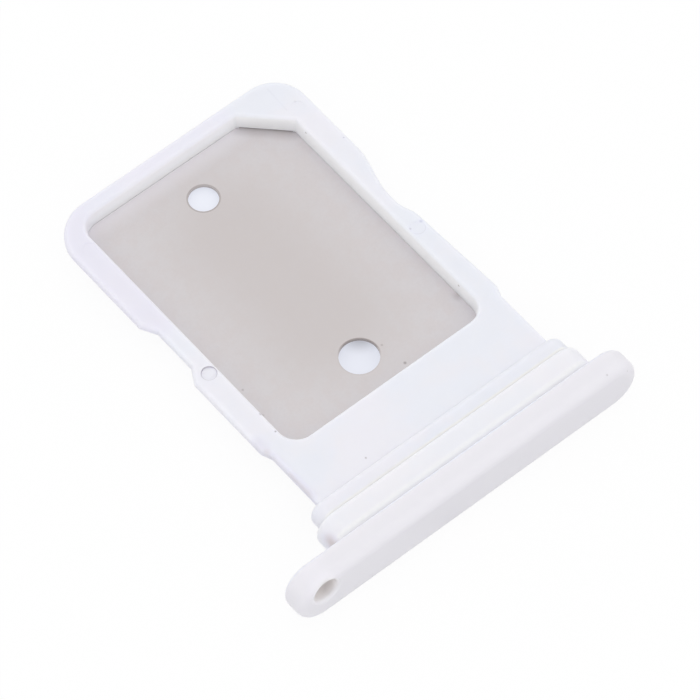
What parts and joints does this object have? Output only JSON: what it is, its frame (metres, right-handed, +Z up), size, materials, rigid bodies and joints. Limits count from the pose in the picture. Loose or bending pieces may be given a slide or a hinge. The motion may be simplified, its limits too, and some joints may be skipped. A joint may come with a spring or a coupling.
{
  "type": "sim card tray",
  "caption": "White moulded card tray for a phone: open pocket with a keyed corner and a thin steel floor, a rubber seal, and a rounded cap bar with an eject hole.",
  "frame": {"origin": "on the resting plane under the cap bar, at the middle of the whole tray's length and of the cap bar", "axes": "+X along the cap bar, +Y into the phone towards the tray's tip, +Z up out of the card pocket"},
  "size_m": [0.0154, 0.0184, 0.0022],
  "materials": {
    "white_plastic": "satin moulded",
    "steel_sheet": "matte rolled",
    "white_silicone": "smooth satin"
  },
  "bodies": {
    "root": {"tray_frame": "white_plastic", "floor_plate": "steel_sheet", "seal_ring": "white_silicone"}
  },
  "joints": []
}
